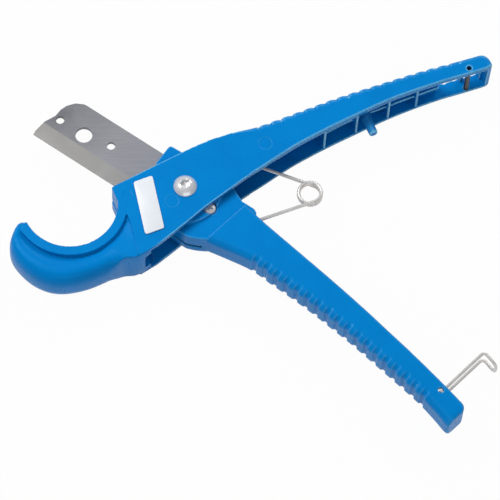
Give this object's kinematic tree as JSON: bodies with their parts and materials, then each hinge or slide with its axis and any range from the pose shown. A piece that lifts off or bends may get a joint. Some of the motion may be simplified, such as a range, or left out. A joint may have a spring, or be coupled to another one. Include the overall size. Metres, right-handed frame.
{
  "type": "tube cutter",
  "caption": "Hand cutter for hose and plastic tube: hooked jaw, swinging blade on a sprung lever, and a wire latch that holds the handles shut.",
  "frame": {"origin": "on the pivot axis, at the rear face of the rear cheek, on which the tool lies", "axes": "+X along the upper handle away from the jaw, +Y towards the handle's back, +Z along the pivot axis to the front cheek"},
  "size_m": [0.2349, 0.2113, 0.0238],
  "materials": {
    "blue_plastic": "fine-grained moulded nylon",
    "blade_steel": "ground, with a brown tint beside the edge",
    "zinc_steel": "bright zinc plate",
    "spring_wire": "bright drawn wire",
    "black_steel": "black oxide",
    "plate_white": "smooth white, bare"
  },
  "bodies": {
    "body": {"jaw_body": "blue_plastic", "pivot_screw": "zinc_steel", "pivot_sleeve": "zinc_steel", "latch_pin": "black_steel", "name_plate": "plate_white", "spring": "spring_wire"},
    "lever": {"lever_handle": "blue_plastic", "blade": "blade_steel", "blade_screw": "zinc_steel", "blade_nut": "zinc_steel"},
    "latch": {"latch_hook": "spring_wire"}
  },
  "joints": [
    {"name": "lever_pivot", "type": "hinge", "parent": "body", "child": "lever", "pos_m": [0, 0, 0], "axis": [0, 0, 1], "range_deg": [0, 56.4], "stiffness_Nm_per_rad": 0.4, "springref_deg": -20.05, "deforming": ["spring"]},
    {"name": "latch_hinge", "type": "hinge", "parent": "lever", "child": "latch", "pos_m": [0.06736, -0.13218, 0.0105], "axis": [0, 0, 1], "range_deg": [-60, 75]}
  ]
}
